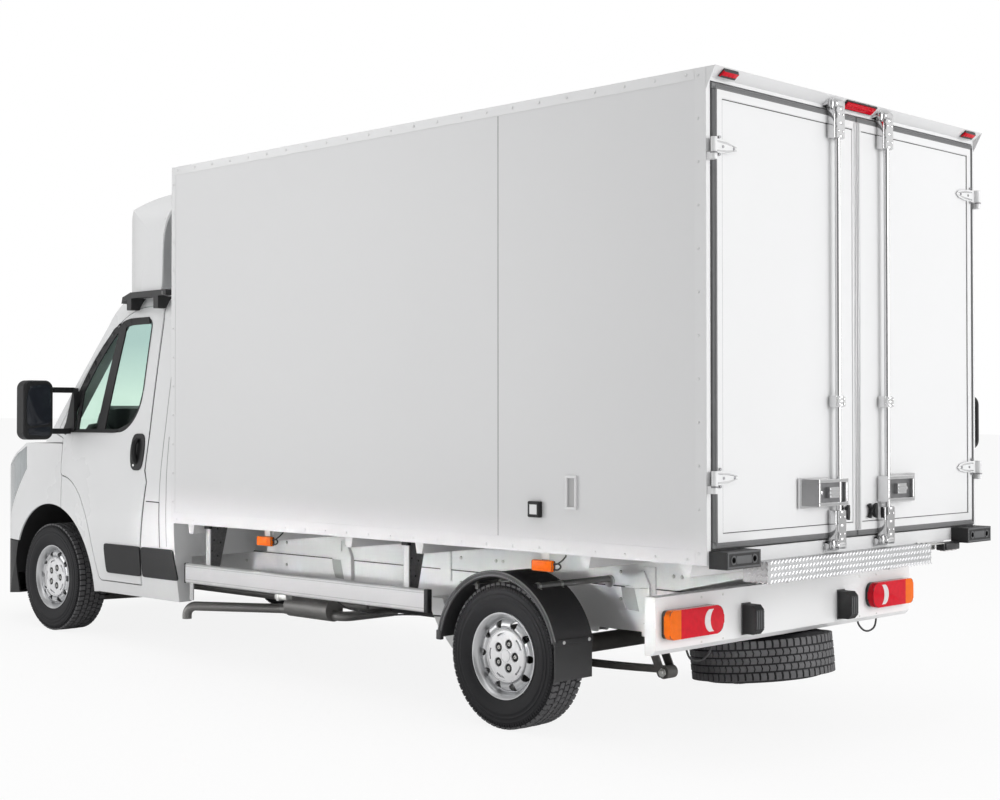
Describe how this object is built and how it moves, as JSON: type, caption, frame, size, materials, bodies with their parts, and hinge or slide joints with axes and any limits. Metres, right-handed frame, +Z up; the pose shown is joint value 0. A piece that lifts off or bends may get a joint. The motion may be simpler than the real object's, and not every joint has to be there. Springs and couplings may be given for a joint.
{
  "type": "refrigerated truck",
  "caption": "Light chassis cab truck with an insulated refrigerated box, hinged cab and rear doors, steering and rolling wheels.",
  "frame": {"origin": "centre of the bounding box's bottom, on the road under the truck", "axes": "+X to the vehicle's left, +Y to its rear, +Z up; the front faces -Y"},
  "size_m": [2.66, 6.3433, 2.9144],
  "materials": {
    "black_plastic": "grained black plastic",
    "cab_paint": "gloss white paint, dusty",
    "box_floor_deck": "grey anti-slip coating",
    "box_skin": "smooth white sandwich panel, dusty low down",
    "floor_paint": "grey paint",
    "frame_paint": "light grey paint over steel",
    "clear_glass": "clear",
    "cast_metal": "rough, dark",
    "exhaust_metal": "heat dulled",
    "chassis_paint": "black paint with road dirt",
    "head_lamp": "clear lens",
    "lamp_lens": "red lenses with amber parts",
    "rubber": "moulded",
    "lock_metal": "stainless",
    "guard_metal": "mill finish",
    "wheel_silver": "silver paint",
    "seat_cloth": "woven dark grey",
    "spare_rubber": "dusty",
    "tyre": "dusty"
  },
  "bodies": {
    "truck": {"arch_liners": "black_plastic", "box_floor": "box_floor_deck", "box_front_wall": "box_skin", "box_left_wall": "box_skin", "box_right_wall": "box_skin", "box_roof": "box_skin", "cab_body": "cab_paint", "cab_floor": "floor_paint", "cab_roof": "cab_paint", "chassis_rails": "frame_paint", "cross_bearers": "frame_paint", "crossmembers": "frame_paint", "dashboard": "black_plastic", "engine": "cast_metal", "exhaust": "exhaust_metal", "fairing_brackets": "chassis_paint", "front_bumper": "black_plastic", "front_carrier": "chassis_paint", "front_fenders": "cab_paint", "front_suspension": "chassis_paint", "fuel_tank": "black_plastic", "grab_handle": "black_plastic", "grille": "black_plastic", "headlamps": "head_lamp", "lamps": "lamp_lens", "leaf_springs": "chassis_paint", "rear_axle": "cast_metal", "rear_buffers": "rubber", "rear_frame": "frame_paint", "rear_mudguards": "black_plastic", "rear_step": "guard_metal", "roof_fairing": "cab_paint", "seats": "seat_cloth", "side_guards": "guard_metal", "spare_wheel": "spare_rubber", "subframe_beams": "frame_paint", "underrun_bar": "frame_paint", "windscreen": "clear_glass"},
    "steering_knuckle_left": {"knuckle_left": "cast_metal"},
    "steering_knuckle_right": {"knuckle_right": "cast_metal"},
    "front_wheel_left": {"tyre_front_left": "tyre", "rim_front_left": "wheel_silver"},
    "front_wheel_right": {"tyre_front_right": "tyre", "rim_front_right": "wheel_silver"},
    "rear_wheel_left": {"tyre_rear_left": "tyre", "rim_rear_left": "wheel_silver"},
    "rear_wheel_right": {"tyre_rear_right": "tyre", "rim_rear_right": "wheel_silver"},
    "cab_door_left": {"cab_door_left": "cab_paint", "door_glass_left": "clear_glass", "mirror_left": "black_plastic"},
    "cab_door_right": {"cab_door_right": "cab_paint", "door_glass_right": "clear_glass", "mirror_right": "black_plastic"},
    "rear_door_left": {"rear_door_left": "box_skin", "rear_lock_left": "lock_metal"},
    "rear_door_right": {"rear_door_right": "box_skin", "rear_lock_right": "lock_metal"},
    "bonnet": {"bonnet": "cab_paint"}
  },
  "joints": [
    {"name": "steering_left", "type": "hinge", "parent": "truck", "child": "steering_knuckle_left", "pos_m": [0.8, -2.222, 0.205], "axis": [-0.2264, 0, 0.974], "range_deg": [-35, 35]},
    {"name": "front_wheel_left_spin", "type": "hinge", "parent": "steering_knuckle_left", "child": "front_wheel_left", "pos_m": [0.905, -2.222, 0.341], "axis": [1, 0, 0], "continuous": true},
    {"name": "rear_wheel_left_spin", "type": "hinge", "parent": "truck", "child": "rear_wheel_left", "pos_m": [0.895, 1.813, 0.341], "axis": [1, 0, 0], "continuous": true},
    {"name": "steering_right", "type": "hinge", "parent": "truck", "child": "steering_knuckle_right", "pos_m": [-0.8, -2.222, 0.205], "axis": [0.2264, 0, 0.974], "range_deg": [-35, 35]},
    {"name": "front_wheel_right_spin", "type": "hinge", "parent": "steering_knuckle_right", "child": "front_wheel_right", "pos_m": [-0.905, -2.222, 0.341], "axis": [1, 0, 0], "continuous": true},
    {"name": "rear_wheel_right_spin", "type": "hinge", "parent": "truck", "child": "rear_wheel_right", "pos_m": [-0.895, 1.813, 0.341], "axis": [1, 0, 0], "continuous": true},
    {"name": "cab_door_left_hinge", "type": "hinge", "parent": "truck", "child": "cab_door_left", "pos_m": [1.005, -2.17341, 0.81002], "axis": [0, -0.0226, 0.9997], "range_deg": [-70, 0]},
    {"name": "rear_door_left_hinge", "type": "hinge", "parent": "truck", "child": "rear_door_left", "pos_m": [1.097, 3.08731, 1.8992], "axis": [0, -0.0226, 0.9997], "range_deg": [-260, 0]},
    {"name": "cab_door_right_hinge", "type": "hinge", "parent": "truck", "child": "cab_door_right", "pos_m": [-1.005, -2.17341, 0.81002], "axis": [0, -0.0226, 0.9997], "range_deg": [0, 70]},
    {"name": "rear_door_right_hinge", "type": "hinge", "parent": "truck", "child": "rear_door_right", "pos_m": [-1.097, 3.08731, 1.8992], "axis": [0, -0.0226, 0.9997], "range_deg": [0, 190]},
    {"name": "bonnet_hinge", "type": "hinge", "parent": "truck", "child": "bonnet", "pos_m": [0, -2.57891, 1.13694], "axis": [1, 0, 0], "range_deg": [-55, 0]}
  ],
  "couplings": [
    {"joint": "steering_right", "follows": "steering_left", "ratio": 1}
  ]
}
